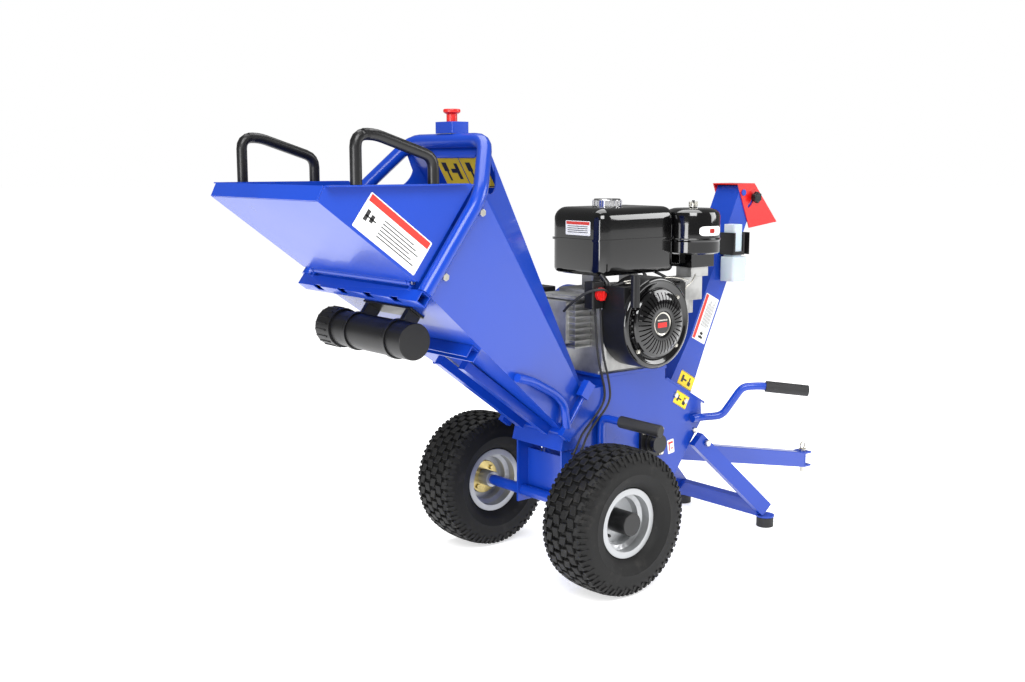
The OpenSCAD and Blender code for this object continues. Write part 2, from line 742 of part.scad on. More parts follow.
module grip(p, q, grip_l) {
    d = (q - p) / norm(q - p);
    difference() {
        rod(q - d * grip_l, q + d * 4, 16);
        rod(q - d * (grip_l + 5), q + d * 0.05, tube_r + 0.05);
    }
}

module handle_grips() placed() color(black) both_sides() {
    grip(side_path[1], side_path[2], 122);
    grip(rear_path[4], rear_path[5], 118);
}

// ---- engine ----

module crankcase() placed() color("silver") difference() {
    union() {
        soft_box(118, 345, shroud_y1 + 0.1, 85, deck_z + 8, 740, 14);
        soft_box(deck_x0 + 6, deck_x1 - 6, -84, 84, deck_z + 0.05, deck_z + 8, 6);
        bar_y(crank_x, crank_z, 60, 85, 92);
        for (x = [150, 290]) soft_box(x, x + 34, -24, 24, 740, tank_z0 - 0.05, 6);
    }
    bar_y(crank_x, crank_z, crank_r + fit, 38, 100);
}

module cylinder_head() placed() color("silver") {
    translate([62, -50, 590]) cube([55.9, 130, 140]);
    for (i = [0 : 8]) translate([50, -64, 592 + i * 16]) cube([60, 158, 5]);
    translate([38, -40, 604]) cube([24, 110, 112]);
}

block_h = 100;            // square top of the shroud above the crankshaft
lever_x = 330;
lever_y = -130;

module fan_shroud() placed() color(black) difference() {
    union() {
        bar_y(crank_x, crank_z, shroud_r, shroud_y0, shroud_y1);
        translate([crank_x - shroud_r + 8, shroud_y0 + 8, crank_z]) cube([232, shroud_y1 - shroud_y0 - 8, block_h]);
        translate([lever_x, lever_y, crank_z + block_h]) cylinder(r = 5, h = 6);
    }
    translate([grip_x, shroud_y0 - 1, grip_z]) rotate([-90, 0, 0]) cylinder(r = cord_r + 1.5, h = 92);
    translate([crank_x - shroud_r - 5, shroud_y0 - 1, deck_z - 20]) cube([300, 120, 20.1]);
}

module recoil_cover() placed() color(black) difference() {
    union() {
        bar_y(crank_x, crank_z, 92, shroud_y0 - 12, shroud_y0 - 0.05);
        bar_y(crank_x, crank_z, 80, shroud_y0 - 24, shroud_y0 - 12);
    }
    for (a = [0 : 15 : 345]) translate([crank_x, shroud_y0 - 26, crank_z]) rotate([0, a, 0])
        translate([36, 0, -2.5]) cube([36, 12, 5]);
}

module recoil_grip() placed() color(black) {
    soft_box(grip_x - 12, grip_x + 12, shroud_y0 - 20, shroud_y0 - gap, grip_z - 42, grip_z + 42, 8);
    translate([grip_x, shroud_y1 - 1, grip_z]) rotate([90, 0, 0])
        cylinder(r = cord_r, h = shroud_y1 - shroud_y0 + 4);
}

module fuel_tank() placed() color(black) difference() {
    x1 = tank_x0 + tank_l;
    y1 = tank_y0 + tank_w;
    union() {
        soft_box(tank_x0 + 8, x1 - 8, tank_y0 + 8, y1 - 8, tank_z0, tank_z0 + 12, 22);
        soft_box(tank_x0, x1, tank_y0, y1, tank_z0 + 12, 871, 26);
        soft_box(tank_x0 - 5, x1 + 5, tank_y0 - 5, y1 + 5, 871, 877, 28);
        soft_box(tank_x0, x1, tank_y0, y1, 877, 940, 26);
        soft_box(tank_x0 + 9, x1 - 9, tank_y0 + 9, y1 - 9, 940, 952, 22);
        soft_box(tank_x0 + 24, x1 - 24, tank_y0 + 24, y1 - 24, 952, 959, 18);
        translate([cap_x, cap_y, 955]) cylinder(r = 26, h = 10);
    }
    soft_box(tank_x0 + 4, x1 - 4, tank_y0 + 4, y1 - 4, tank_z0 + 14, 938, 22);
    translate([cap_x, cap_y, 930]) cylinder(r = 20, h = 60);
    translate([filter_x, filter_y, tank_z0 + 40]) cylinder(r = filter_d / 2 + 2, h = 220);
}

module fuel_cap() placed() color("silver") difference() {
    union() {
        translate([cap_x, cap_y, 959 + gap]) cylinder(r = 38, h = 22, $fn = 64);
        for (a = [0 : 30 : 330]) translate([cap_x, cap_y, 962]) rotate([0, 0, a]) translate([36, -5, 0])
            cube([5, 10, 19]);
    }
    translate([cap_x, cap_y, 955]) cylinder(r = 26 + gap, h = 11, $fn = 64);
}

module air_cleaner() placed() color(black) {
    translate([filter_x, filter_y, 828]) cylinder(r = filter_d / 2, h = 110, $fn = 64);
    translate([filter_x, filter_y, 938]) cylinder(r1 = filter_d / 2, r2 = filter_d / 2 - 12, h = 14, $fn = 64);
    translate([filter_x, filter_y, 952]) cylinder(r = 4, h = 22);
    translate([filter_x - 40, filter_y - 35, 790.1]) cube([92, 76, 38]);
}

module filter_nut() placed() color(zinc) difference() {
    union() {
        translate([filter_x, filter_y, 952 + gap]) cylinder(r = 9, h = 8);
        translate([filter_x - 17, filter_y - 1.5, 956]) cube([34, 3, 14]);
        translate([filter_x, filter_y, 956]) cylinder(r = 6.5, h = 10);
    }
    translate([filter_x, filter_y, 950]) cylinder(r = 4 + fit, h = 30);
}

module carburettor() placed() color("silver") {
    translate([filter_x - 70, filter_y - 30, 700]) cube([80, 60, 64]);
    translate([filter_x - 34, filter_y - 28, 764]) cube([70, 56, 26]);
    translate([345.1, -96, 700]) cube([filter_x - 70 - 345.1, 60, 36]);
    translate([filter_x - 30, filter_y, 664]) cylinder(r = 25, h = 36);
}

module muffler() placed() color(black) {
    soft_box(30, 132, 98, 190, 620, 740, 16);
    translate([80, 94.1, 660]) rotate([-90, 0, 0]) cylinder(r = 18, h = 3.9);
    translate([60, 150, 740]) cylinder(r = 14, h = 22);
}

panel_x = 92.5;

module control_panel() placed() color(black) difference() {
    soft_box(panel_x - 24, panel_x + 19, -110, -74, 700, 770, 6);
    translate([panel_x, -111, 738]) rotate([-90, 0, 0]) cylinder(r = 7 + fit, h = 20);
}

module ignition_knob() placed() color("red") translate([panel_x, -110, 738]) rotate([90, 0, 0]) {
    translate([0, 0, -16]) cylinder(r = 7, h = 16 + gap);
    translate([0, 0, gap]) cylinder(r = 17, h = 10);
    translate([-3, -15, 10]) cube([6, 30, 8]);
}

module throttle_lever() placed() color(black) translate([lever_x, lever_y, crank_z + block_h + gap]) difference() {
    union() {
        cylinder(r = 12, h = 3);
        rotate([0, 0, -100]) translate([0, -6, 0]) cube([62, 12, 3]);
        rotate([0, 0, -100]) translate([58, 0, 0]) cylinder(r = 8, h = 5.4 - gap);
    }
    translate([0, 0, -1]) cylinder(r = 5 + fit, h = 9);
}

// ---- overflow bottle ----

bottle_x = 630;
bottle_y = -spout_d / 2 - 6;

module overflow_bottle() placed() color([0.85, 0.9, 0.95]) {
    soft_box(bottle_x, bottle_x + 60, bottle_y - 52, bottle_y, 735, 806, 8);
    soft_box(bottle_x + 10, bottle_x + 48, bottle_y - 44, bottle_y - 3, 806, 900, 6);
}

module bottle_bracket() placed() color(black) difference() {
    union() {
        soft_box(bottle_x + 5, bottle_x + 76, bottle_y - 48, -spout_d / 2 - 0.1, 812, 876, 3);
        translate([bottle_x + 30, bottle_y, 840]) cube([60, 5.9, 40]);
    }
    soft_box(bottle_x + 9.9, bottle_x + 48.1, bottle_y - 44.1, bottle_y - 2.9, 800, 900, 6);
    translate([bottle_x + 52, bottle_y - 60, 800]) cube([20, 56, 90]);
    translate([bottle_x + 12, bottle_y - 60, 822]) cube([34, 20, 60]);
}

// ---- cables ----

cable_r = 3;
cable_a = [[12, -96, 322], [4, -112, 326], [10, -118, 346], [36, -112, 376], [72, -108, 404], [104, -106, 432],
    [118, -106, 456], [118, -106, 484], [108, -106, 520], [94, -104, 580], [90, -100, 650], [90, -96, 699]];
cable_b = [[20, -96, 318], [14, -120, 322], [22, -126, 342], [46, -120, 372], [80, -116, 402], [114, -114, 430],
    [130, -114, 456], [130, -114, 484], [120, -116, 520], [104, -114, 580], [102, -108, 650], [102, -104, 699]];

function catmull(p, i, t) = let (
    a = p[max(i - 1, 0)],
    b = p[i],
    c = p[i + 1],
    d = p[min(i + 2, len(p) - 1)]
) 0.5 * (2 * b + (c - a) * t + (2 * a - 5 * b + 4 * c - d) * t * t + (3 * b - a - 3 * c + d) * t * t * t);
function smooth_path(p, n) = [for (i = [0 : len(p) - 2], k = [0 : n - 1]) catmull(p, i, k / n), p[len(p) - 1]];
module cable(points) sweep(smooth_path(points, 4), cable_r, [1, 0, 0], 8);

module control_cables() placed() color(black) {
    cable(cable_a);
    cable(cable_b);
}

// ---- fasteners ----

module hex(p, r = 8, h = 6) translate(p) rotate([90, 0, 0]) cylinder(r = r, h = h, $fn = 6);

module hex_bolts() placed() color(zinc) both_sides() {
    for (v = [56, 228]) at_mouth() hex([chute_u + 9, -chute_half(chute_u), v], 9, 7);
    for (p = [[480, 318], [400, 430], [440, 408]]) hex([p.x, -house_y - 0.1, p.y]);
    hex([leg_x + 4, -house_y - 34.2, leg_z], 10, 8);
}

side_plates();
rotor_shell();
engine_deck();
anvil();
rotor_bearings();
belt_guard();
drive_belt();
axle_beam();
axle_bracket();
feed_chute();
hood_frame();
mouth_crossbar();
table_hinge_pin();
stop_switch_box();
manual_canister();
canister_bracket();
chute_supports();
inlet_flanges();
discharge_tube();
tow_bar();
hitch_clevis();
stand_frame();
stand_feet();
lift_handles();
handle_grips();
crankcase();
cylinder_head();
fan_shroud();
recoil_cover();
fuel_tank();
air_cleaner();
carburettor();
muffler();
control_panel();
overflow_bottle();
bottle_bracket();
control_cables();
hex_bolts();
tyre_near();
rim_near();
hub_near();
tyre_far();
rim_far();
hub_far();
feed_table();
table_handles();
deflector();
deflector_knob();
stop_button();
rotor_drum();
rotor_knives();
rotor_pulley();
crank_pulley();
recoil_grip();
fuel_cap();
filter_nut();
canister_cap();
hitch_pin();
ignition_knob();
throttle_lever();
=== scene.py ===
import json
import math

import bmesh
import bpy
from mathutils import Matrix, Vector


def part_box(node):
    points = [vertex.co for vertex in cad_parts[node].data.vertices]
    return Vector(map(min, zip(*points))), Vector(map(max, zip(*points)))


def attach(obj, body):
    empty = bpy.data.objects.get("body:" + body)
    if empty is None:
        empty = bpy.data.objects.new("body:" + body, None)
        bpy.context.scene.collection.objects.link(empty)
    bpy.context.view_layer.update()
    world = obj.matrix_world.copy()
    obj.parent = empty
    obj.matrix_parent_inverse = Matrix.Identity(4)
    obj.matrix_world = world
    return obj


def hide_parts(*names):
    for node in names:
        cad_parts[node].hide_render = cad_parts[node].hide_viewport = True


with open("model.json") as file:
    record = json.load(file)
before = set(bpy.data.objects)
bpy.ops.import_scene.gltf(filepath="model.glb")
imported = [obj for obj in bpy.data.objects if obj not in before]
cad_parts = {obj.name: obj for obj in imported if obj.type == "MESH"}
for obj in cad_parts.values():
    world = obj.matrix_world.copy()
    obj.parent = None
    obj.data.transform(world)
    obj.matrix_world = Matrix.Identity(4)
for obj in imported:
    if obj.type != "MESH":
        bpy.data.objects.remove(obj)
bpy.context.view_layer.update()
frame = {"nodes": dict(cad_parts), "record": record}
cadNodes = frame["nodes"]
bodyOf = {n: body for body, members in frame["record"]["behaviour"]["bodies"].items() for n in members}
slotOf = {p["node"]: p["material_slot"] for p in frame["record"]["subparts"]}
print("frame loaded:", len(cadNodes), "nodes")

mm = 0.001

# camera, set first
camera = {"place": (-2.20184, -2.34998, 1.07782), "back": (-0.6277, -0.7642, 0.1485), "lens": 41.8, "sensor": 36.0}
camData = bpy.data.cameras.new("camera")
camData.lens, camData.sensor_width = camera["lens"], camera["sensor"]
camData.clip_end = 50
camObject = bpy.data.objects.new("camera", camData)
camObject.location = camera["place"]
camObject.rotation_euler = (-Vector(camera["back"])).to_track_quat("-Z", "Y").to_euler()
bpy.context.scene.collection.objects.link(camObject)
bpy.context.scene.camera = camObject

# places in the machine's own frames, in millimetres, turned into metres
shiftX = -161.0  # the row's origin seen from the axle
chuteFrame = {"x": -560.0, "z": 800.0, "slope": math.radians(36.7)}
spoutFrame = {"x": 553.5, "z": 570.0, "lean": math.radians(25.7)}


def machinePoint(x, y, z):
    return Vector(((x + shiftX) * mm, y * mm, z * mm))


def turnedFrame(x, z, angle):
    return Matrix.Translation(machinePoint(x, 0, z)) @ Matrix.Rotation(angle, 4, "Y")


def chuteMatrix():  # local X down the chute floor, local Z up the mouth
    return turnedFrame(chuteFrame["x"], chuteFrame["z"], chuteFrame["slope"])


def spoutMatrix():  # local Z up the discharge tube, local X across it
    return turnedFrame(spoutFrame["x"], spoutFrame["z"], spoutFrame["lean"])


# materials
def newMaterial(name):
    mat = bpy.data.materials.new(name)
    mat.use_nodes = True
    return mat, mat.node_tree.nodes, mat.node_tree.links, mat.node_tree.nodes["Principled BSDF"]


def surfaceMaterial(name, colour, roughness, metallic=0.0, coat=0.0, coatRoughness=0.1, grain=900, grainDepth=0.02,
                    patch=7, patchShade=0.8, dust=None, roughSpread=0.12, specular=0.5):
    mat, nodes, links, shader = newMaterial(name)
    shader.inputs["Metallic"].default_value = metallic
    shader.inputs["Coat Weight"].default_value = coat
    shader.inputs["Coat Roughness"].default_value = coatRoughness
    shader.inputs["Specular IOR Level"].default_value = specular
    place = nodes.new("ShaderNodeTexCoord")
    broad = nodes.new("ShaderNodeTexNoise")
    broad.inputs["Scale"].default_value = patch
    broad.inputs["Detail"].default_value = 5
    links.new(place.outputs["Object"], broad.inputs["Vector"])
    ramp = nodes.new("ShaderNodeValToRGB")
    ramp.color_ramp.elements[0].position = 0.3
    ramp.color_ramp.elements[1].position = 0.62
    ramp.color_ramp.elements[0].color = tuple(c * patchShade for c in colour) + (1,)
    ramp.color_ramp.elements[1].color = tuple(colour) + (1,)
    links.new(broad.outputs["Fac"], ramp.inputs["Fac"])
    colourOut = ramp.outputs["Color"]
    if dust:
        flecks = nodes.new("ShaderNodeTexNoise")
        flecks.inputs["Scale"].default_value = dust["scale"]
        flecks.inputs["Detail"].default_value = 8
        flecks.inputs["Roughness"].default_value = 0.7
        links.new(place.outputs["Object"], flecks.inputs["Vector"])
        limit = nodes.new("ShaderNodeMapRange")
        limit.inputs["From Min"].default_value = dust["from"]
        limit.inputs["From Max"].default_value = dust["from"] + 0.2
        limit.inputs["To Max"].default_value = dust["amount"]
        links.new(flecks.outputs["Fac"], limit.inputs["Value"])
        mix = nodes.new("ShaderNodeMix")
        mix.data_type = "RGBA"
        links.new(limit.outputs["Result"], mix.inputs[0])
        links.new(colourOut, mix.inputs[6])
        mix.inputs[7].default_value = tuple(dust["colour"]) + (1,)
        colourOut = mix.outputs[2]
    links.new(colourOut, shader.inputs["Base Color"])
    spread = nodes.new("ShaderNodeMapRange")
    spread.inputs["To Min"].default_value = max(0.02, roughness - roughSpread / 2)
    spread.inputs["To Max"].default_value = min(1.0, roughness + roughSpread / 2)
    links.new(broad.outputs["Fac"], spread.inputs["Value"])
    links.new(spread.outputs["Result"], shader.inputs["Roughness"])
    fine = nodes.new("ShaderNodeTexNoise")
    fine.inputs["Scale"].default_value = grain
    fine.inputs["Detail"].default_value = 3
    links.new(place.outputs["Object"], fine.inputs["Vector"])
    bump = nodes.new("ShaderNodeBump")
    bump.inputs["Strength"].default_value = 0.35
    bump.inputs["Distance"].default_value = grainDepth * mm
    links.new(fine.outputs["Fac"], bump.inputs["Height"])
    links.new(bump.outputs["Normal"], shader.inputs["Normal"])
    return mat


finishes = {
    "blue_paint": surfaceMaterial("bluePaint", (0.003, 0.042, 0.37), 0.3, coat=0.25, coatRoughness=0.08, grain=420,
                                  grainDepth=0.25, patch=4, patchShade=0.9, specular=0.4),
    "black_paint": surfaceMaterial("blackPaint", (0.006, 0.006, 0.0065), 0.36, coat=0.15, coatRoughness=0.2, grain=600,
                                   grainDepth=0.2, patch=9, patchShade=0.8, specular=0.35),
    "black_plastic": surfaceMaterial("blackPlastic", (0.008, 0.008, 0.0085), 0.4, grain=1600, grainDepth=0.12, patch=12,
                                     patchShade=0.75, specular=0.35),
    "gloss_black": surfaceMaterial("glossBlack", (0.002, 0.002, 0.0022), 0.1, coat=0.6, coatRoughness=0.03, grain=300,
                                   grainDepth=0.1, patch=6, patchShade=0.9, roughSpread=0.05),
    "tyre": surfaceMaterial("tyreRubber", (0.006, 0.006, 0.006), 0.6, grain=700, grainDepth=0.5, patch=14,
                            patchShade=0.7, specular=0.28,
                            dust={"scale": 22, "from": 0.55, "amount": 0.16, "colour": (0.11, 0.1, 0.09)}),
    "rubber": surfaceMaterial("blackRubber", (0.014, 0.014, 0.015), 0.6, grain=1100, grainDepth=0.5, patch=18,
                              patchShade=0.75),
    "silver_paint": surfaceMaterial("rimSilver", (0.42, 0.43, 0.44), 0.36, metallic=0.7, coat=0.2, grain=800,
                                    grainDepth=0.1, patch=5, patchShade=0.94),
    "zinc": surfaceMaterial("zincPlate", (0.62, 0.6, 0.54), 0.3, metallic=1.0, grain=1200, grainDepth=0.15, patch=30,
                            patchShade=0.8),
    "yellow_zinc": surfaceMaterial("yellowZinc", (0.6, 0.48, 0.2), 0.28, metallic=1.0, grain=900, grainDepth=0.15,
                                   patch=22, patchShade=0.6),
    "engine_metal": surfaceMaterial("castAluminium", (0.5, 0.5, 0.49), 0.42, metallic=0.85, grain=500, grainDepth=0.8,
                                    patch=20, patchShade=0.6),
    "red_paint": surfaceMaterial("redPaint", (0.62, 0.006, 0.006), 0.3, coat=0.5, coatRoughness=0.08, grain=420,
                                 grainDepth=0.2, patch=8, patchShade=0.88),
    "red_plastic": surfaceMaterial("redPlastic", (0.6, 0.012, 0.01), 0.34, grain=1300, grainDepth=0.08, patch=20,
                                   patchShade=0.9),
    "bottle": surfaceMaterial("bottlePlastic", (0.66, 0.74, 0.8), 0.4, grain=300, grainDepth=0.1, patch=10,
                              patchShade=0.93),
    "chrome_cap": surfaceMaterial("chromeCap", (0.7, 0.7, 0.71), 0.12, metallic=1.0, grain=300, grainDepth=0.05,
                                  patch=24, patchShade=0.8, roughSpread=0.06),
    "label_white": surfaceMaterial("labelWhite", (0.78, 0.78, 0.77), 0.35, grain=300, grainDepth=0.02, patch=20,
                                   patchShade=0.95),
    "label_red": surfaceMaterial("labelRed", (0.62, 0.03, 0.02), 0.35, grain=300, grainDepth=0.02, patch=20,
                                 patchShade=0.93),
    "label_yellow": surfaceMaterial("labelYellow", (0.9, 0.62, 0.005), 0.35, grain=300, grainDepth=0.02, patch=20,
                                    patchShade=0.93),
    "label_ink": surfaceMaterial("labelInk", (0.02, 0.02, 0.02), 0.45, grain=300, grainDepth=0.02, patch=20,
                                 patchShade=0.9),
}
bottleShader = finishes["bottle"].node_tree.nodes["Principled BSDF"]
bottleShader.inputs["Transmission Weight"].default_value = 0.35
bottleShader.inputs["Subsurface Weight"].default_value = 0.2
print("materials made:", len(finishes))


# making pieces
def finishPiece(bm, name, body, slot, materials, replaced=(), smooth=32, bevel=0.0, segments=2, clean=True):
    if clean:
        bmesh.ops.remove_doubles(bm, verts=bm.verts, dist=1e-6)
        bmesh.ops.recalc_face_normals(bm, faces=bm.faces)
    mesh = bpy.data.meshes.new(name)
    bm.to_mesh(mesh)
    bm.free()
    for mat in materials:
        mesh.materials.append(mat)
    mesh.shade_smooth()
    mesh.set_sharp_from_angle(angle=math.radians(smooth))
    piece = bpy.data.objects.new(name, mesh)
    bpy.context.scene.collection.objects.link(piece)
    if bevel:
        rounding = piece.modifiers.new("edges", "BEVEL")
        rounding.width, rounding.segments = bevel * mm, segments
        rounding.limit_method, rounding.angle_limit = "ANGLE", math.radians(36)
        rounding.harden_normals = True
        rounding.miter_outer = "MITER_ARC"
    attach(piece, body)
    if replaced:
        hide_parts(*replaced)
    return piece


def refinedCopy(node, bevel, slot=None, finish=None, smooth=34):  # the CAD shape with welded faces and rounded edges
    bm = bmesh.new()
    bm.from_mesh(cadNodes[node].data)
    bmesh.ops.remove_doubles(bm, verts=bm.verts, dist=2e-6)
    bmesh.ops.dissolve_limit(bm, angle_limit=math.radians(0.6), verts=bm.verts, edges=bm.edges)
    for face in bm.faces:
        face.material_index = 0
    slot = slot or slotOf[node]
    return finishPiece(bm, node + "Finished", bodyOf[node], slot, [finishes[finish or slot]], replaced=[node],
                       bevel=bevel, clean=False, smooth=smooth)


edgeRounding = {
    "side_plates": 0.8, "rotor_shell": 0.6, "engine_deck": 0.8, "anvil": 0.5, "rotor_bearings": 1.2, "belt_guard": 1.5,
    "drive_belt": 0.8, "axle_beam": 0.5, "axle_bracket": 0.8, "feed_chute": 0.7, "hood_frame": 0.0,
    "mouth_crossbar": 1.2, "table_hinge_pin": 0.6, "stop_switch_box": 1.5, "manual_canister": 2.0,
    "canister_bracket": 0.8, "chute_supports": 0.8, "inlet_flanges": 0.8, "discharge_tube": 0.9, "tow_bar": 1.5,
    "hitch_clevis": 1.0, "stand_frame": 1.5, "stand_feet": 2.5, "lift_handles": 0.0, "handle_grips": 2.5,
    "crankcase": 2.5, "cylinder_head": 0.8, "fan_shroud": 3.0, "carburettor": 1.5, "muffler": 2.5,
    "control_panel": 2.0, "overflow_bottle": 3.0, "bottle_bracket": 1.0, "control_cables": 0.0, "hex_bolts": 0.8,
    "rim_near": 0.8, "hub_near": 2.0, "rim_far": 0.8, "hub_far": 2.0, "feed_table": 0.9, "table_handles": 0.0,
    "deflector": 0.9, "rotor_drum": 0.8, "rotor_knives": 0.5, "rotor_pulley": 0.8, "crank_pulley": 0.8,
    "recoil_grip": 2.5, "filter_nut": 0.6, "canister_cap": 1.5, "hitch_pin": 0.8, "throttle_lever": 0.8,
    "ignition_knob": 1.2,
}
for node, width in edgeRounding.items():
    refinedCopy(node, width)
print("machine pieces finished:", len(edgeRounding))


def boxInto(bm, x0, x1, y0, y1, z0, z1, matrix=Matrix(), index=0):
    middle = Matrix.Translation(((x0 + x1) / 2, (y0 + y1) / 2, (z0 + z1) / 2))
    size = Matrix.Diagonal((x1 - x0, y1 - y0, z1 - z0, 1))
    made = bmesh.ops.create_cube(bm, size=1.0, matrix=matrix @ middle @ size)
    for face in {f for v in made["verts"] for f in v.link_faces}:
        face.material_index = index
    return made["verts"]


def inMetres(profile, lift=0.0):  # (radius, height) pairs given in millimetres
    return [(radius * mm, (height + lift) * mm) for radius, height in profile]


def onCircle(radius, degrees, height=0.0):  # a shift round local Z, in millimetres
    turn = math.radians(degrees)
    return Matrix.Translation((radius * math.cos(turn) * mm, radius * math.sin(turn) * mm, height * mm))


def turnedInto(bm, profile, matrix, steps=64, index=0):  # a closed profile of (radius, height) turned about local Z
    verts = [bm.verts.new((r, 0, h)) for r, h in profile]
    edges = [bm.edges.new((verts[i], verts[(i + 1) % len(verts)])) for i in range(len(verts))]
    before = set(bm.faces)
    bmesh.ops.spin(bm, geom=verts + edges, cent=(0, 0, 0), axis=(0, 0, 1), angle=math.tau, steps=steps, use_merge=True)
    made = [f for f in bm.faces if f not in before]
    points = {v for f in made for v in f.verts}
    bmesh.ops.transform(bm, matrix=matrix, verts=list(points))
    for face in made:
        face.material_index = index
    return made


# tyres
tyre = {"halfWidth": 76.5, "top": 188.0, "groove": 8.0, "bead": 49.5, "beadRadius": 76.3, "pitches": 36,
        "rows": [(-57, 15, 24, 20), (-36.5, 19, 26, -22), (-12.5, 20, 26, 22), (12.5, 20, 26, -22), (36.5, 19, 26, 22),
                 (57, 15, 24, -20)]}


def crownRadius(across):  # tread surface radius at a distance from the middle of the tyre
    w = abs(across)
    if w < 38.5:
        return tyre["top"] - 0.0012 * w * w
    return tyre["top"] - 1.8 - 0.0105 * (w - 38.5) ** 2


def makeTyre(node, centre):
    bm = bmesh.new()
    w, g = tyre["halfWidth"], tyre["groove"]
    outer = [(tyre["beadRadius"], tyre["bead"]), (89.5, tyre["bead"]), (94.0, tyre["bead"] + 6), (100, w - 10),
             (112, w - 4.5), (126, w - 1), (128, w - 0.2), (130, w - 1), (145, w - 0.5), (158, w - 2.5), (168, w - 5.5),
             (174, w - 10), (crownRadius(58) - g + 1, 58), (crownRadius(44) - g, 44), (crownRadius(22) - g, 22),
             (crownRadius(0) - g, 0)]
    inner = [(168, 0), (164, 50), (150, 64), (118, 62), (tyre["beadRadius"], tyre["bead"] - 12)]
    profile = outer + [(r, -h) for r, h in reversed(outer[:-1])] + [(r, -h) for r, h in reversed(inner[1:])] + inner
    toWheel = Matrix.Translation(centre) @ Matrix.Rotation(math.radians(90), 4, "X")
    turnedInto(bm, [(r * mm, h * mm) for r, h in profile], toWheel, steps=120)
    for row, (across, width, length, skew) in enumerate(tyre["rows"]):
        for k in range(tyre["pitches"]):
            angle = math.tau * (k + 0.5 * (row % 2)) / tyre["pitches"]
            addTreadBlock(bm, toWheel, angle, across, width, length, skew)
    for side in (-1, 1):
        for k in range(tyre["pitches"] * 2):
            addShoulderBar(bm, toWheel, math.tau * (k + 0.25) / (tyre["pitches"] * 2), side, 16 if k % 2 else 24)
    finishPiece(bm, node + "Treaded", bodyOf[node], "tyre", [finishes["tyre"]], replaced=[node], smooth=40)


def addTreadBlock(bm, toWheel, angle, across, width, length, skew):
    made = bmesh.ops.create_cube(bm, size=1.0)["verts"]
    top = crownRadius(across)
    for v in made:
        along, height = v.co.y * length, v.co.z
        v.co.x = across + v.co.x * width + math.tan(math.radians(skew)) * along * 0.55
        if height > 0:
            along *= 0.86
        radius = crownRadius(v.co.x) if height > 0 else top - tyre["groove"] - 3
        turn = angle + along / top
        v.co = (radius * math.cos(turn) * mm, radius * math.sin(turn) * mm, v.co.x * mm)
    bmesh.ops.transform(bm, matrix=toWheel, verts=made)
    edges = list({e for v in made for e in v.link_edges})
    bmesh.ops.bevel(bm, geom=edges, offset=1.1 * mm, offset_type="OFFSET", segments=1, profile=0.5, affect="EDGES",
                    material=-1, clamp_overlap=True)


def addShoulderBar(bm, toWheel, angle, side, reach):
    made = bmesh.ops.create_cube(bm, size=1.0)["verts"]
    for v in made:
        out = 0.5 + v.co.x  # 0 at the tread, 1 down the sidewall
        radius = crownRadius(62) + 1 - out * reach
        across = side * (63 + out * (11.5 if v.co.z > 0 else 6) + (2.5 if v.co.z > 0 else -8))
        across = max(-tyre["halfWidth"], min(tyre["halfWidth"], across))
        turn = angle + v.co.y * (8.5 - 2 * out) / radius
        v.co = (radius * math.cos(turn) * mm, radius * math.sin(turn) * mm, across * mm)
    bmesh.ops.transform(bm, matrix=toWheel, verts=made)


wheelMiddle = {"tyre_near": Vector((-0.161, -0.268, 0.188)), "tyre_far": Vector((-0.161, 0.268, 0.188))}
for node, centre in wheelMiddle.items():
    makeTyre(node, centre)
print("tyres made")

# wheel trim: valve stem and the plated flange behind each rim
wheelTrim = {"stemAngle": {"Near": 205, "Far": 60}, "stemRadius": 58, "stemLift": 3, "bore": 13.5, "flange": 46,
             "back": 6, "boltCircle": 34, "bolts": 4,
             "stem": [(1, 0), (6.5, 0), (6.5, 4), (4.5, 8), (3.5, 26), (1, 26)],
             "stemCap": [(1, 26), (4.2, 26), (4.2, 37), (3.0, 39), (1, 39)],
             "bolt": [(0.5, 0), (6.8, 0), (6.8, 4.5), (6, 5.5), (0.5, 5.5)]}
for sign, side in ((-1, "Near"), (1, "Far")):
    node = "rim_" + side.lower()
    outward = Matrix.Translation(wheelMiddle["tyre_" + side.lower()]) @ Matrix.Rotation(-sign * math.pi / 2, 4, "X")
    stemAt = outward @ onCircle(wheelTrim["stemRadius"], wheelTrim["stemAngle"][side], wheelTrim["stemLift"])
    bm = bmesh.new()
    turnedInto(bm, inMetres(wheelTrim["stem"]), stemAt, steps=16)
    turnedInto(bm, inMetres(wheelTrim["stemCap"]), stemAt, steps=16)
    finishPiece(bm, "valveStem" + side, bodyOf[node], "rubber", [finishes["rubber"]])
    bm = bmesh.new()
    inner, outer, back = wheelTrim["bore"], wheelTrim["flange"], wheelTrim["back"]
    plate = [(inner, -back), (outer, -back), (outer + 1, -back + 1.5), (outer + 1, -1), (inner, -1)]
    turnedInto(bm, inMetres(plate), outward, steps=48)
    for k in range(wheelTrim["bolts"]):
        boltAt = outward @ onCircle(wheelTrim["boltCircle"], 45 + 90 * k, -back) @ Matrix.Rotation(math.pi, 4, "X")
        turnedInto(bm, inMetres(wheelTrim["bolt"]), boltAt, steps=6)
    finishPiece(bm, "platedFlange" + side, bodyOf[node], "zinc", [finishes["yellow_zinc"]], bevel=0.4)
print("wheel trim made")

# fuel tank: two shells with a seam, cut away round the air cleaner
tank = {"corner": 34, "edge": 34, "seamZ": 874, "seamHalf": 2.5, "seamOut": 5, "notch": (457, -100, 81), "neckDrop": 2,
        "neck": [(20, 0), (44, 0), (41, 3), (26, 4.5), (26, 8), (20, 8)]}


def levelEdges(bm, height):  # flat edges at one height
    return [e for e in bm.edges if e.is_valid and abs(e.verts[0].co.z - e.verts[1].co.z) < 1e-7
            and abs(e.verts[0].co.z - height) < 1e-7]


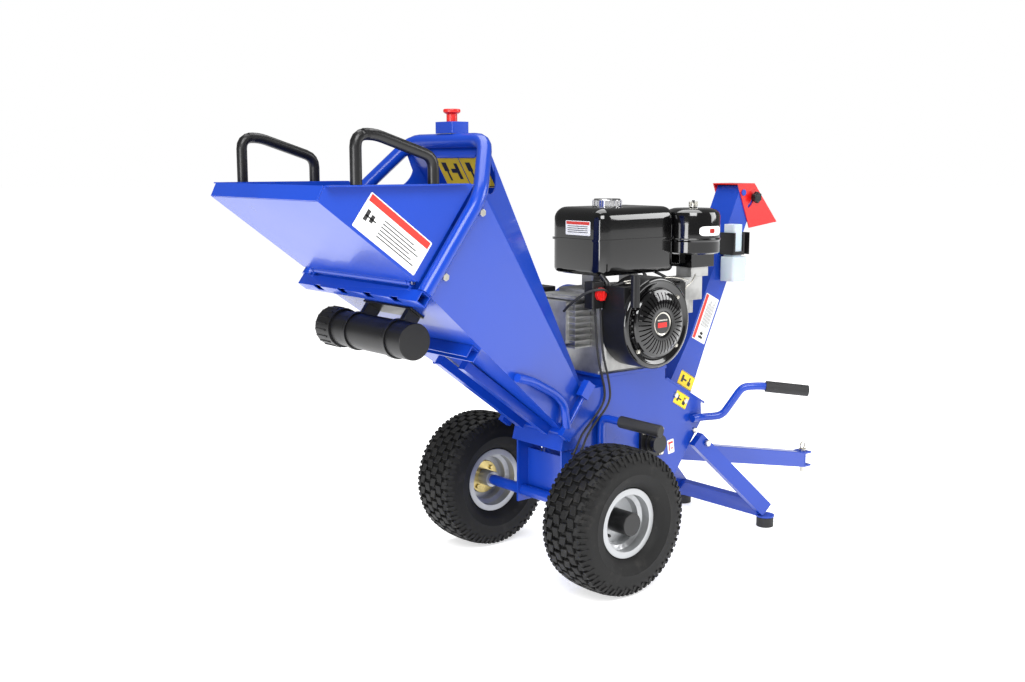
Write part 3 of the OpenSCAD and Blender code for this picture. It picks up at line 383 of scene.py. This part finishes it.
def roundedBox(bm, x0, x1, y0, y1, z0, z1, corner, edge, segments=7):
    verts = boxInto(bm, x0, x1, y0, y1, z0, z1)
    around = {e for v in verts for e in v.link_edges}
    upright = [e for e in around if abs(e.verts[0].co.z - e.verts[1].co.z) > 1e-6]
    bmesh.ops.bevel(bm, geom=upright, offset=corner, segments=segments, profile=0.5, affect="EDGES", material=-1)
    if edge:
        for height, offset, steps in ((z1, edge, segments), (z0, edge * 0.45, segments - 2)):
            bmesh.ops.bevel(bm, geom=levelEdges(bm, height), offset=offset, segments=steps, profile=0.5,
                            affect="EDGES", material=-1)


def meshObject(bm, name):
    mesh = bpy.data.meshes.new(name)
    bmesh.ops.recalc_face_normals(bm, faces=bm.faces)
    bm.to_mesh(mesh)
    bm.free()
    made = bpy.data.objects.new(name, mesh)
    bpy.context.scene.collection.objects.link(made)
    return made


def cutShape(bm, cutters, operation="DIFFERENCE"):  # booleans one after another, back into a bmesh
    base = meshObject(bm, "base")
    tools = [meshObject(c, "tool") for c in cutters]
    for tool in tools:
        step = base.modifiers.new("cut", "BOOLEAN")
        step.operation, step.object, step.solver = operation, tool, "EXACT"
    bpy.context.view_layer.update()
    result = bmesh.new()
    result.from_mesh(base.evaluated_get(bpy.context.evaluated_depsgraph_get()).to_mesh())
    for made in [base] + tools:
        bpy.data.objects.remove(made)
    return result


def cylinderBm(x, y, z0, z1, radius, steps=64):
    bm = bmesh.new()
    bmesh.ops.create_cone(bm, cap_ends=True, segments=steps, radius1=radius, radius2=radius, depth=z1 - z0,
                          matrix=Matrix.Translation((x, y, (z0 + z1) / 2)))
    return bm


low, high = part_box("fuel_tank")
capLow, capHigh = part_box("fuel_cap")
capMiddle = (capLow + capHigh) / 2
out = tank["seamOut"] * mm
x0, x1, y0, y1, z0 = low.x + out, high.x - out, low.y + out, high.y - out, low.z
z1 = capLow.z - 0.0003  # the tank's top, under the cap
bm = bmesh.new()
roundedBox(bm, x0, x1, y0, y1, z0, z1, tank["corner"] * mm, tank["edge"] * mm)
seam = bmesh.new()
roundedBox(seam, x0 - out, x1 + out, y0 - out, y1 + out, (tank["seamZ"] - tank["seamHalf"]) * mm,
           (tank["seamZ"] + tank["seamHalf"]) * mm, (tank["corner"] + 4) * mm, 0)
bm = cutShape(bm, [seam], "UNION")
notchX, notchY, notchRadius = tank["notch"]
bm = cutShape(bm, [cylinderBm((notchX + shiftX) * mm, notchY * mm, 0.8, 1.1, notchRadius * mm)])
neckAt = Matrix.Translation((capMiddle.x, capMiddle.y, z1 - tank["neckDrop"] * mm))
turnedInto(bm, inMetres(tank["neck"]), neckAt, steps=48)
finishPiece(bm, "fuelTankShell", "chassis", "gloss_black", [finishes["gloss_black"]], replaced=["fuel_tank"],
            bevel=1.2, smooth=30)
print("fuel tank made")

# fuel cap
cap = {"radius": 38, "height": 21, "ribs": 18, "ribOut": 2.6, "ribHalf": 3.4, "bore": 26.5}
bm = bmesh.new()
capAt = Matrix.Translation((capMiddle.x, capMiddle.y, capLow.z + 0.0001))
r, h = cap["radius"], cap["height"]
dome = [(cap["bore"], 0), (r, 0), (r, h - 4), (r - 3, h), (10, h + 0.5), (0.2, h + 0.5), (0.2, h - 3),
        (cap["bore"], h - 6)]
turnedInto(bm, inMetres(dome), capAt, steps=72)
for k in range(cap["ribs"]):
    rib = capAt @ Matrix.Rotation(math.tau * k / cap["ribs"], 4, "Z")
    boxInto(bm, (r - 1) * mm, (r + cap["ribOut"]) * mm, -cap["ribHalf"] * mm, cap["ribHalf"] * mm, 2 * mm,
            (h - 3.5) * mm, rib)
finishPiece(bm, "fuelCapRibbed", "fuel_cap", "chrome_cap", [finishes["chrome_cap"]], replaced=["fuel_cap"], bevel=0.7)
print("fuel cap made")

# air cleaner: banded drum with a domed lid, on its elbow box
cleaner = {"x": 457, "y": -100, "bottom": 828, "lid": 952, "radius": 78, "stud": 974,
           "elbow": (-40, 52, -35, 41, 790.1, 829), "duct": (-52, 58, 0, 50, 800, 829)}
bm = bmesh.new()
cleanerAt = Matrix.Translation(machinePoint(cleaner["x"], cleaner["y"], 0))
r, bottom, lid = cleaner["radius"], cleaner["bottom"], cleaner["lid"]
drum = [(0.2, bottom), (r - 8, bottom), (r - 2, bottom + 4), (r - 2, bottom + 34), (r, bottom + 38), (r, bottom + 41),
        (r - 2.5, bottom + 43), (r - 2.5, lid - 20), (r - 6, lid - 10), (r - 14, lid - 3), (r - 24, lid), (12, lid),
        (10, lid + 3), (4, lid + 4), (4, cleaner["stud"]), (0.2, cleaner["stud"])]
turnedInto(bm, inMetres(drum), cleanerAt, steps=80)
for sides in (cleaner["elbow"], cleaner["duct"]):
    boxInto(bm, *(side * mm for side in sides), cleanerAt)
finishPiece(bm, "airCleanerHousing", "chassis", "black_plastic", [finishes["gloss_black"]], replaced=["air_cleaner"],
            bevel=1.0, smooth=26)
print("air cleaner made")

# recoil starter cover: a domed disc with long radial slots and a plain badge in the middle
recoil = {"x": 227, "z": 659, "back": 188.05, "slots": 36, "slotIn": 44, "slotOut": 82, "slotHalf": 1.7,
          "dome": [(0.2, 0), (92, 0), (92, 8), (89, 11.5), (84, 12.5), (78, 16.5), (70, 20.5), (56, 22.8), (40, 23.5),
                   (34, 22.5), (33, 19.5), (0.2, 19.5)],
          "badgeRing": [(27, 19.3), (31, 19.3), (31, 21.2), (30, 22), (27, 20.8)],
          "badge": [(0.2, 19.3), (26.6, 19.3), (26.6, 20.2), (0.2, 20.6)]}
bm = bmesh.new()
recoilAt = Matrix.Translation(machinePoint(recoil["x"], 0, recoil["z"])) @ Matrix.Rotation(math.pi / 2, 4, "X")
base = recoil["back"] * mm
turnedInto(bm, inMetres(recoil["dome"], recoil["back"]), recoilAt, steps=108)
tool = bmesh.new()
for k in range(recoil["slots"]):
    turn = recoilAt @ Matrix.Rotation(math.tau * k / recoil["slots"], 4, "Z")
    boxInto(tool, recoil["slotIn"] * mm, recoil["slotOut"] * mm, -recoil["slotHalf"] * mm, recoil["slotHalf"] * mm,
            base + 0.006, base + 0.03, turn)
bm = cutShape(bm, [tool])
finishPiece(bm, "recoilCoverSlotted", "chassis", "black_paint", [finishes["gloss_black"]], replaced=["recoil_cover"],
            smooth=28)
bm = bmesh.new()
turnedInto(bm, inMetres(recoil["badgeRing"], recoil["back"]), recoilAt, steps=64)
finishPiece(bm, "recoilBadgeRing", "chassis", "zinc", [finishes["zinc"]])
bm = bmesh.new()
turnedInto(bm, inMetres(recoil["badge"], recoil["back"]), recoilAt, steps=64)
boxInto(bm, -0.0165, 0.0165, -0.010, 0.003, base + 0.0200, base + 0.0212, recoilAt, 1)
boxInto(bm, -0.018, 0.018, 0.0075, 0.0110, base + 0.0200, base + 0.0210, recoilAt, 2)
finishPiece(bm, "recoilBadge", "chassis", "black_plastic",
            [finishes["gloss_black"], finishes["red_plastic"], finishes["zinc"]])
print("recoil cover made")


def smoothPath(points, turns=5):  # a curve through the points, in millimetres
    path = []
    last = len(points) - 1
    for i in range(last):
        a, b, c, d = (Vector(points[min(max(i + k, 0), last)]) for k in (-1, 0, 1, 2))
        for k in range(turns):
            t = k / turns
            path.append(0.5 * (2 * b + (c - a) * t + (2 * a - 5 * b + 4 * c - d) * t * t
                               + (3 * b - a - 3 * c + d) * t ** 3))
    path.append(Vector(points[-1]))
    return path


def tubePiece(name, points, radius, finish, steps=10):
    path = smoothPath(points)
    bm = bmesh.new()
    rings = []
    side = Vector((0, 0, 1))
    for i, place in enumerate(path):
        ahead = (path[min(i + 1, len(path) - 1)] - path[max(i - 1, 0)]).normalized()
        side = side - ahead * side.dot(ahead)
        if side.length < 0.1:
            side = ahead.orthogonal()
        side.normalize()
        over = ahead.cross(side)
        turns = (math.tau * k / steps for k in range(steps))
        around = [place + (side * math.cos(turn) + over * math.sin(turn)) * radius for turn in turns]
        rings.append([bm.verts.new(machinePoint(*point)) for point in around])
    for first, second in zip(rings, rings[1:]):
        for k in range(steps):
            bm.faces.new((first[k], first[(k + 1) % steps], second[(k + 1) % steps], second[k]))
    bm.faces.new(rings[0])
    bm.faces.new(rings[-1])
    finishPiece(bm, name, "chassis", finish, [finishes[finish]], smooth=50)


# small things round the engine: rods, hoses, the plug lead, the lip and louvres of the fan shroud
engineFit = {"shroudFace": 188.0, "lip": 119, "lipIn": 93.5, "louvres": 7, "louvreFirst": 198, "louvreStep": 9,
             "rodRadius": 1.8, "hoseRadius": 4.2, "coverBoltRadius": 98.5, "coverBoltAngles": (40, 140, 225, 318),
             "coverBolt": [(0.4, 0), (6.2, 0), (6.2, 1.2), (5.2, 1.4), (5.2, 5.2), (0.4, 5.6)],
             "bearingBoltOut": 33, "bearingFace": 110,
             "bearingBolt": [(0.4, 0), (8.5, 0), (8.5, 1.2), (6.8, 1.4), (6.8, 6.4), (0.4, 6.8)]}
rod, hose = engineFit["rodRadius"], engineFit["hoseRadius"]
tubePiece("governorRod", [(140, -150, 771), (236, -152, 772), (330, -150, 770), (402, -136, 757)], rod, "zinc")
tubePiece("chokeRod", [(360, -158, 716), (372, -158, 742), (404, -150, 756), (432, -136, 772)], rod, "zinc")
tubePiece("throttleSpring", [(150, -146, 765), (205, -149, 763), (260, -146, 766)], 3.2, "zinc")
tubePiece("fuelHose", [(322, -70, 786), (338, -112, 768), (356, -138, 742), (374, -134, 722), (392, -118, 716)],
          hose, "rubber")
tubePiece("breatherHose", [(122, -112, 752), (150, -140, 766), (196, -146, 776), (240, -130, 779), (270, -96, 781)],
          hose, "rubber")
tubePiece("plugLead", [(112, -120, 742), (84, -126, 752), (58, -96, 742), (40, -58, 712), (38, -32, 690)], 3.6,
          "rubber")
tubePiece("tankStrut", [(120, -86, 784), (124, -104, 764), (132, -112, 744)], 8.0, "black_paint", steps=8)
bm = bmesh.new()
lip, lipIn, faceAt = engineFit["lip"], engineFit["lipIn"], engineFit["shroudFace"]
rolled = [(lipIn, -1), (lip + 2.5, -12), (lip + 2.5, -3), (lip, 3.5), (lip - 6, 6.2), (lip - 12, 4.5), (lip - 16, 0.5),
          (lipIn, 0.5)]
turnedInto(bm, inMetres(rolled, faceAt), recoilAt, steps=96)
finishPiece(bm, "shroudLip", "chassis", "gloss_black", [finishes["gloss_black"]], smooth=50)
bm = bmesh.new()
for k in range(engineFit["louvres"]):
    turn = recoilAt @ Matrix.Rotation(math.radians(engineFit["louvreFirst"] - engineFit["louvreStep"] * k), 4, "Z")
    boxInto(bm, 0.094, 0.1005, -0.0022, 0.0022, (faceAt - 1) * mm, (faceAt + 6.5) * mm, turn)
finishPiece(bm, "shroudLouvres", "chassis", "gloss_black", [finishes["gloss_black"]], bevel=0.6)
bm = bmesh.new()
for angle in engineFit["coverBoltAngles"]:
    turn = recoilAt @ Matrix.Rotation(math.radians(angle), 4, "Z")
    boltAt = turn @ Matrix.Translation((engineFit["coverBoltRadius"] * mm, 0, faceAt * mm))
    turnedInto(bm, inMetres(engineFit["coverBolt"]), boltAt, steps=6)
low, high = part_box("rotor_bearings")
hubAt = Matrix.Translation(((low.x + high.x) / 2, 0, (low.z + high.z) / 2)) @ Matrix.Rotation(math.pi / 2, 4, "X")
reach = engineFit["bearingBoltOut"] * mm
for u, v in ((-1, -1), (-1, 1), (1, -1), (1, 1)):
    boltAt = hubAt @ Matrix.Translation((u * reach, v * reach, engineFit["bearingFace"] * mm))
    turnedInto(bm, inMetres(engineFit["bearingBolt"]), boltAt, steps=6)
finishPiece(bm, "engineBolts", "chassis", "zinc", [finishes["zinc"]])
print("engine details made")

# stop button: mushroom head on a thick stem
stopHead = [(0.2, 0), (9.5, 0), (9.5, 4), (13, 6), (13, 28), (16.5, 29.5), (20.5, 32.5), (21, 35.5), (20.5, 39),
            (18, 40.6), (0.2, 41)]
bm = bmesh.new()
low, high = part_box("stop_button")
turnedInto(bm, inMetres(stopHead), Matrix.Translation(((low.x + high.x) / 2, 0, low.z)), steps=48)
finishPiece(bm, "stopButtonHead", "stop_button", "red_plastic", [finishes["red_plastic"]], replaced=["stop_button"],
            bevel=0.4)

# deflector knob: a six-lobed head
knob = {"place": (26, -45, 462), "lobes": 6, "lobeCircle": 12.4,
        "hub": [(0.2, -2.8), (4, -2.8), (4, 3.8), (11, 3.8), (12, 9), (14.5, 11), (14.5, 22), (12, 24.5), (0.2, 24.8)],
        "lobe": [(0.2, 11.5), (4.2, 11.5), (4.8, 13), (4.8, 21), (4.2, 22.5), (0.2, 22.5)]}
bm = bmesh.new()
knobAt = (spoutMatrix() @ Matrix.Translation(Vector(knob["place"]) * mm) @ Matrix.Rotation(math.pi / 2, 4, "X"))
turnedInto(bm, inMetres(knob["hub"]), knobAt, steps=48)
for k in range(knob["lobes"]):
    lobeAt = knobAt @ onCircle(knob["lobeCircle"], 360 * k / knob["lobes"])
    turnedInto(bm, inMetres(knob["lobe"]), lobeAt, steps=20)
finishPiece(bm, "deflectorKnobLobed", "knob", "black_plastic", [finishes["black_plastic"]],
            replaced=["deflector_knob"], bevel=0.5)
print("knobs made")


# labels: plain colour blocks, no lettering
def addLabel(name, matrix, width, height, blocks, body="chassis", base="label_white"):
    # local X along the label, local Z up it, local -Y out of the surface
    bm = bmesh.new()
    kinds = [base, "label_red", "label_ink", "label_yellow"]
    verts = boxInto(bm, -width / 2 * mm, width / 2 * mm, -0.0005, 0, -height / 2 * mm, height / 2 * mm)
    around = {e for v in verts for e in v.link_edges}
    sides = [e for e in around if abs(e.verts[0].co.y - e.verts[1].co.y) > 1e-6]
    bmesh.ops.bevel(bm, geom=sides, offset=2.5 * mm, segments=3, profile=0.5, affect="EDGES", material=-1)
    for kind, u0, u1, v0, v1 in blocks:
        boxInto(bm, (u0 - 0.5) * width * mm, (u1 - 0.5) * width * mm, -0.0007, -0.0004, (v0 - 0.5) * height * mm,
                (v1 - 0.5) * height * mm, index=kinds.index(kind))
    bmesh.ops.transform(bm, matrix=matrix, verts=bm.verts)
    finishPiece(bm, name, body, "black_plastic", [finishes[k] for k in kinds], smooth=30)


def onNearSide(x, y, z, turn):  # a place on a face that looks to -Y, turned in its plane
    return Matrix.Translation(machinePoint(x, y, z)) @ Matrix.Rotation(turn, 4, "Y")


textBars = [("label_ink", 0.32, 0.32 + 0.6 * (0.8 + 0.2 * ((k * 7) % 3) / 2), 0.62 - 0.09 * k, 0.65 - 0.09 * k)
            for k in range(6)]
warning = [("label_red", 0.02, 0.98, 0.78, 0.97)] + textBars + [
    ("label_ink", 0.07, 0.12, 0.3, 0.6), ("label_ink", 0.15, 0.2, 0.35, 0.55), ("label_ink", 0.08, 0.24, 0.42, 0.46)]
tankBlocks = [("label_red", 0.03, 0.97, 0.74, 0.95)] + [
    ("label_ink", 0.08, 0.9, 0.6 - 0.14 * k, 0.65 - 0.14 * k) for k in range(4)]
pictogram = [("label_ink", 0.02, 0.98, 0.02, 0.05), ("label_ink", 0.02, 0.98, 0.95, 0.98),
             ("label_ink", 0.16, 0.3, 0.25, 0.75), ("label_ink", 0.3, 0.52, 0.42, 0.55),
             ("label_ink", 0.62, 0.82, 0.22, 0.5), ("label_ink", 0.66, 0.74, 0.5, 0.8)]
arrow = [("label_red", 0.15, 0.85, 0.7, 0.85), ("label_red", 0.2, 0.35, 0.2, 0.7), ("label_red", 0.5, 0.8, 0.3, 0.4)]
houseSlope = math.radians(29.4)
addLabel("wingLabel", onNearSide(-636, -242.05, 927, chuteFrame["slope"]), 190, 84, warning, body="table")
tankEnd = Matrix.Translation((x0 - 0.00005, -0.008, 0.905)) @ Matrix.Rotation(math.radians(-90), 4, "Z")
addLabel("tankLabel", tankEnd, 96, 38, tankBlocks)
addLabel("housingLabelYellow", onNearSide(424, -100.1, 414, houseSlope), 58, 38, pictogram, base="label_yellow")
addLabel("spoutLabelYellow", onNearSide(504, -45.1, 452, houseSlope), 66, 42, pictogram, base="label_yellow")
spoutFace = spoutMatrix() @ Matrix.Translation((0.0, -0.0451, 0.063)) @ Matrix.Rotation(math.radians(-90), 4, "Y")
addLabel("spoutLabelWarning", spoutFace, 140, 60, warning)
addLabel("arrowLabel", onNearSide(385, -100.1, 285, math.radians(-8)), 26, 40, arrow)
crownAngle = math.atan((400 - 121) / 668)  # the crown falls from the mouth's height to the outlet's
for k, across in enumerate((-79, 17)):
    underCrown = chuteMatrix() @ Matrix.Translation((0.066, across * mm, 0.369)) @ Matrix.Rotation(crownAngle, 4, "Y")
    inside = underCrown @ Matrix.Rotation(math.radians(90), 4, "X") @ Matrix.Rotation(math.radians(90), 4, "Y")
    addLabel("hoodLabel" + str(k), inside, 92, 88, pictogram, base="label_yellow")

# oval plate wrapped round the air cleaner
oval = {"facing": -94, "middle": 892, "plates": ((80, 26, 0.0), (18, 12, 0.5)), "straight": 0.62}
bm = bmesh.new()
for index, (width, height, lift) in enumerate(oval["plates"]):
    plate = bmesh.ops.create_grid(bm, x_segments=24, y_segments=2, size=0.5)["verts"]
    for v in plate:
        u = v.co.x * 2
        half = height / 2 * (1 - max(0.0, abs(u) - oval["straight"]) ** 2 / 0.1444 * 0.75) ** 0.5
        angle = math.radians(oval["facing"]) + u * width / 2 / (cleaner["radius"] - 2)
        reach = (cleaner["radius"] - 2.1 + lift) * mm
        v.co = (reach * math.cos(angle), reach * math.sin(angle), (oval["middle"] + v.co.y * 2 * half) * mm)
    for face in {f for v in plate for f in v.link_faces}:
        face.material_index = index
bmesh.ops.solidify(bm, geom=bm.faces[:], thickness=-0.0004)
bmesh.ops.transform(bm, matrix=cleanerAt, verts=bm.verts)
finishPiece(bm, "cleanerLabel", "chassis", "black_plastic", [finishes["label_white"], finishes["label_red"]],
            smooth=50)
print("labels made")

# floor and light
stageSet = {"floor": 60.0, "shade": 0.86, "glow": 0.56, "backdrop": 1.0, "fill": 0.55, "sheen": 0.2}
bm = bmesh.new()
bmesh.ops.create_grid(bm, x_segments=1, y_segments=1, size=stageSet["floor"])
floor = meshObject(bm, "floor")
floorMat, nodes, links, shader = newMaterial("paleFloor")
shader.inputs["Base Color"].default_value = (stageSet["shade"],) * 3 + (1,)
shader.inputs["Roughness"].default_value = 0.6
shader.inputs["Specular IOR Level"].default_value = 0.0
shader.inputs["Emission Color"].default_value = (1, 1, 1, 1)
shader.inputs["Emission Strength"].default_value = stageSet["glow"]
floor.data.materials.append(floorMat)
floor.location.z = -0.0005

world = bpy.data.worlds.new("studio")
bpy.context.scene.world = world
world.use_nodes = True
nodes, links = world.node_tree.nodes, world.node_tree.links
seen = nodes["Background"]
seen.inputs["Color"].default_value = (1, 1, 1, 1)
seen.inputs["Strength"].default_value = stageSet["backdrop"]
lighting = nodes.new("ShaderNodeBackground")
lighting.inputs["Color"].default_value = (1, 1, 1, 1)
lighting.inputs["Strength"].default_value = stageSet["fill"]
rays = nodes.new("ShaderNodeLightPath")
choose = nodes.new("ShaderNodeMixShader")
links.new(rays.outputs["Is Camera Ray"], choose.inputs["Fac"])
links.new(lighting.outputs["Background"], choose.inputs[1])
links.new(seen.outputs["Background"], choose.inputs[2])
sheen = nodes.new("ShaderNodeBackground")
sheen.inputs["Color"].default_value = (1, 1, 1, 1)
sheen.inputs["Strength"].default_value = stageSet["sheen"]
glossy = nodes.new("ShaderNodeMixShader")
links.new(rays.outputs["Is Glossy Ray"], glossy.inputs["Fac"])
links.new(choose.outputs["Shader"], glossy.inputs[1])
links.new(sheen.outputs["Background"], glossy.inputs[2])
links.new(glossy.outputs["Shader"], nodes["World Output"].inputs["Surface"])


def areaLight(name, place, target, size, power, shape="SQUARE", sizeY=None):
    data = bpy.data.lights.new(name, "AREA")
    data.energy, data.size, data.shape = power, size, "RECTANGLE" if sizeY else shape
    if sizeY:
        data.size_y = sizeY
    light = bpy.data.objects.new(name, data)
    light.location = place
    light.rotation_euler = (Vector(place) - Vector(target)).to_track_quat("Z", "Y").to_euler()
    bpy.context.scene.collection.objects.link(light)


areaLight("keySoftbox", (-2.4, -2.6, 3.4), (0, 0, 0.5), 2.2, 170)
areaLight("sideSoftbox", (2.8, -2.2, 2.2), (0.2, 0, 0.5), 1.8, 70)
areaLight("mouthSoftbox", (-3.4, -0.9, 0.9), (-0.4, 0, 0.9), 1.4, 55)
areaLight("topSoftbox", (0.2, 0.6, 4.0), (0, 0, 0.3), 3.0, 110)
bpy.context.scene.view_settings.view_transform = "Standard"
print("stage made")
